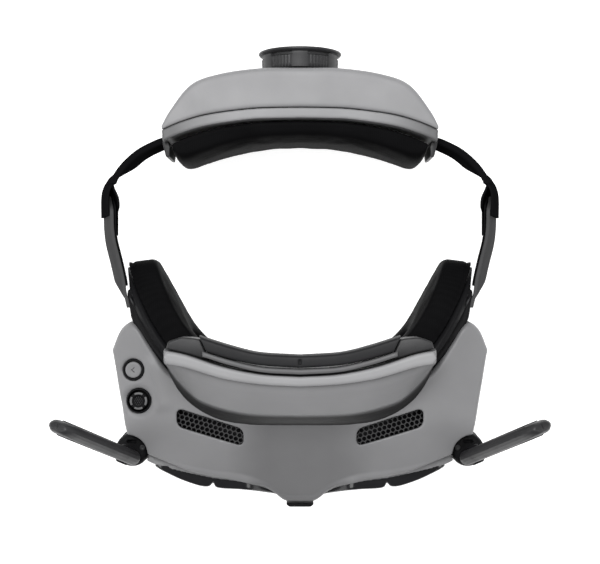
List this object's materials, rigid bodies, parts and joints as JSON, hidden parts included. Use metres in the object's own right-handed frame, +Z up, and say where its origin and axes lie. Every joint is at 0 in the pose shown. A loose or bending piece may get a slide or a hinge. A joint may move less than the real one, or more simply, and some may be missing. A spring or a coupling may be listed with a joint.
{
  "type": "video goggles",
  "caption": "Head-worn video goggles: grey front body with brow pad, foam mask, folding side antennas, thumb stick, and an adjustable headband with battery case and dial.",
  "frame": {"origin": "centre of the bounding box at the surface the goggles stand on", "axes": "+X to the wearer's left, +Y from the nose to the back of the head, +Z up"},
  "size_m": [0.205, 0.2094, 0.1012],
  "materials": {
    "grey": "fine satin moulding, mid grey",
    "light": "satin, light grey",
    "dark": "matt, near black",
    "black": "soft matt black",
    "gloss": "glossy black",
    "foam": "black knit over soft foam",
    "steel": "plain",
    "board": "coated circuit board",
    "glass": "clear lens",
    "cell": "shrink-wrapped cell"
  },
  "bodies": {
    "headset": {"front_shell": "grey", "lower_shell": "dark", "front_fascia": "gloss", "nose_trim": "black", "brow_shell": "grey", "brow_rim": "light", "pad_carrier": "grey", "brow_pad": "foam", "face_frame": "black", "face_foam": "foam", "back_button_ring": "black", "stick_ring": "black", "main_board": "board", "heat_sink": "steel", "usb_socket": "steel", "card_socket": "steel", "eyepiece_rail": "steel", "antenna_base_right": "black", "arm_right": "grey", "arm_liner_right": "black", "camera_module_right": "dark", "camera_window_right": "gloss", "fan_housing_right": "dark", "vent_grille_right": "dark", "antenna_base_left": "black", "arm_left": "grey", "arm_liner_left": "black", "camera_module_left": "dark", "camera_window_left": "gloss", "fan_housing_left": "dark", "vent_grille_left": "dark"},
    "antenna_blade_right": {"antenna_right": "dark"},
    "fan_rotor_right": {"fan_impeller_right": "black"},
    "eyepiece_right": {"lens_barrel_right": "dark", "display_right": "gloss"},
    "knob_right": {"diopter_knob_right": "black"},
    "lens_right": {"eyepiece_lens_right": "glass"},
    "antenna_blade_left": {"antenna_left": "dark"},
    "fan_rotor_left": {"fan_impeller_left": "black"},
    "eyepiece_left": {"lens_barrel_left": "dark", "display_left": "gloss"},
    "knob_left": {"diopter_knob_left": "black"},
    "lens_left": {"eyepiece_lens_left": "glass"},
    "back_key": {"back_button": "grey"},
    "stick_yoke": {"stick_gimbal": "steel"},
    "stick_core": {"stick_stem": "steel"},
    "stick_key": {"stick_cap": "dark"},
    "rear_unit": {"battery_case": "grey", "case_band": "light", "rear_pad": "foam", "battery_cell_right": "cell", "battery_cell_left": "cell", "strap_right": "black", "strap_left": "black"},
    "dial_wheel": {"dial": "dark", "dial_pinion": "light"},
    "rack_slider_right": {"rack_right": "black"},
    "rack_slider_left": {"rack_left": "black"},
    "power_key": {"power_button": "dark"}
  },
  "joints": [
    {"name": "antenna_right_fold", "type": "hinge", "parent": "headset", "child": "antenna_blade_right", "pos_m": [-0.0785, -0.0775, 0.044], "axis": [0.3748, 0.9095, -0.1799], "range_deg": [0, 108.2]},
    {"name": "fan_right_spin", "type": "hinge", "parent": "headset", "child": "fan_rotor_right", "pos_m": [-0.0165, -0.0776, 0.0214], "axis": [0, 0, 1], "continuous": true},
    {"name": "eyepiece_right_slide", "type": "slide", "parent": "headset", "child": "eyepiece_right", "axis": [1, 0, 0], "range_m": [-0.004, 0.004]},
    {"name": "diopter_right_turn", "type": "hinge", "parent": "eyepiece_right", "child": "knob_right", "pos_m": [-0.032, -0.066, 0.003], "axis": [0, 0, 1], "range_deg": [-90, 90]},
    {"name": "lens_right_focus", "type": "slide", "parent": "eyepiece_right", "child": "lens_right", "axis": [0, 1, 0], "range_m": [-0.0018, 0.0018]},
    {"name": "antenna_left_fold", "type": "hinge", "parent": "headset", "child": "antenna_blade_left", "pos_m": [0.0785, -0.0775, 0.044], "axis": [0.3748, -0.9095, 0.1799], "range_deg": [0, 108.2]},
    {"name": "fan_left_spin", "type": "hinge", "parent": "headset", "child": "fan_rotor_left", "pos_m": [0.0165, -0.0776, 0.0214], "axis": [0, 0, 1], "continuous": true},
    {"name": "eyepiece_left_slide", "type": "slide", "parent": "headset", "child": "eyepiece_left", "axis": [1, 0, 0], "range_m": [-0.004, 0.004]},
    {"name": "diopter_left_turn", "type": "hinge", "parent": "eyepiece_left", "child": "knob_left", "pos_m": [0.032, -0.066, 0.003], "axis": [0, 0, 1], "range_deg": [-90, 90]},
    {"name": "lens_left_focus", "type": "slide", "parent": "eyepiece_left", "child": "lens_left", "axis": [0, 1, 0], "range_m": [-0.0018, 0.0018]},
    {"name": "back_press", "type": "slide", "parent": "headset", "child": "back_key", "axis": [0, 0, -1], "range_m": [0, 0.0008], "stiffness_N_per_m": 600},
    {"name": "stick_tilt_fore_aft", "type": "hinge", "parent": "headset", "child": "stick_yoke", "pos_m": [-0.0718, -0.0529, 0.04213], "axis": [1, 0, 0], "range_deg": [-5, 5], "stiffness_Nm_per_rad": 0.03},
    {"name": "stick_tilt_sideways", "type": "hinge", "parent": "stick_yoke", "child": "stick_core", "pos_m": [-0.0718, -0.0529, 0.04213], "axis": [0, 1, 0], "range_deg": [-5, 5], "stiffness_Nm_per_rad": 0.03},
    {"name": "stick_press", "type": "slide", "parent": "stick_core", "child": "stick_key", "axis": [0, 0, -1], "range_m": [0, 0.0003], "stiffness_N_per_m": 600},
    {"name": "headband_adjust", "type": "slide", "parent": "headset", "child": "rear_unit", "axis": [0, 1, 0], "range_m": [0, 0.014]},
    {"name": "dial_turn", "type": "hinge", "parent": "rear_unit", "child": "dial_wheel", "pos_m": [0, 0.1, 0.035], "axis": [0, 1, 0], "range_deg": [0, 160.5]},
    {"name": "rack_right_slide", "type": "slide", "parent": "rear_unit", "child": "rack_slider_right", "axis": [-1, 0, 0], "range_m": [0, 0.014]},
    {"name": "rack_left_slide", "type": "slide", "parent": "rear_unit", "child": "rack_slider_left", "axis": [1, 0, 0], "range_m": [0, 0.014]},
    {"name": "power_press", "type": "slide", "parent": "rear_unit", "child": "power_key", "axis": [0, -1, 0], "range_m": [0, 0.0006], "stiffness_N_per_m": 600}
  ],
  "couplings": [
    {"joint": "diopter_right_turn", "follows": "lens_right_focus", "rad_per_m": 850},
    {"joint": "diopter_left_turn", "follows": "lens_left_focus", "rad_per_m": 850},
    {"joint": "dial_turn", "follows": "headband_adjust", "rad_per_m": 200},
    {"joint": "rack_right_slide", "follows": "headband_adjust", "ratio": 1},
    {"joint": "rack_left_slide", "follows": "headband_adjust", "ratio": 1}
  ]
}
